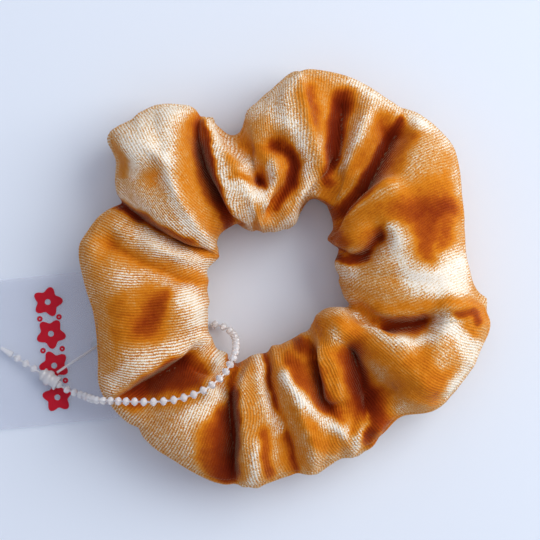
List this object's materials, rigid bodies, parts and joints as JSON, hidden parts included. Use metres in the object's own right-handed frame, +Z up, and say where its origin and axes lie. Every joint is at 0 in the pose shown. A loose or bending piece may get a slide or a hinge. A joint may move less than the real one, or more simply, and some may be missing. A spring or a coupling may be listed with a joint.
{
  "type": "scrunchie",
  "caption": "Gathered stretch-velvet hair scrunchie lying flat, with an elastic ring inside and a clear swing tag on a beaded loop fastener.",
  "frame": {"origin": "middle of the cover's footprint, on the surface that the scrunchie lies on", "axes": "+Z up, along the axis of the ring of hair; -X towards the side that the swing tag hangs from"},
  "size_m": [0.1607, 0.1126, 0.0296],
  "materials": {
    "velvet": "ribbed stretch velvet, mustard gold",
    "thread": "polyester sewing thread",
    "elastic": "flat braided elastic",
    "clear_card": "clear flexible vinyl",
    "clear_plastic": "clear moulded plastic"
  },
  "bodies": {
    "cover": {"velvet_cover": "velvet", "long_seam_thread": "thread", "closing_seam_thread": "thread"},
    "elastic": {"elastic_band": "elastic", "elastic_join_thread": "thread"},
    "tag_loop": {"bead_strand": "clear_plastic", "strand_lock": "clear_plastic", "strand_tip": "clear_plastic"},
    "tag": {"tag_card": "clear_card"}
  },
  "joints": [
    {"name": "elastic_turn", "type": "hinge", "parent": "cover", "child": "elastic", "pos_m": [-0.0018, -0.0004, 0.0102], "axis": [0, 0, 1], "continuous": true},
    {"name": "loop_slide", "type": "hinge", "parent": "cover", "child": "tag_loop", "pos_m": [-0.0018, -0.0004, 0], "axis": [0, 0, 1], "range_deg": [-3, 3]},
    {"name": "tag_turn", "type": "hinge", "parent": "tag_loop", "child": "tag", "pos_m": [-0.0495, -0.0176, 0.0015], "axis": [0, 0, 1], "range_deg": [-30, 30]}
  ]
}
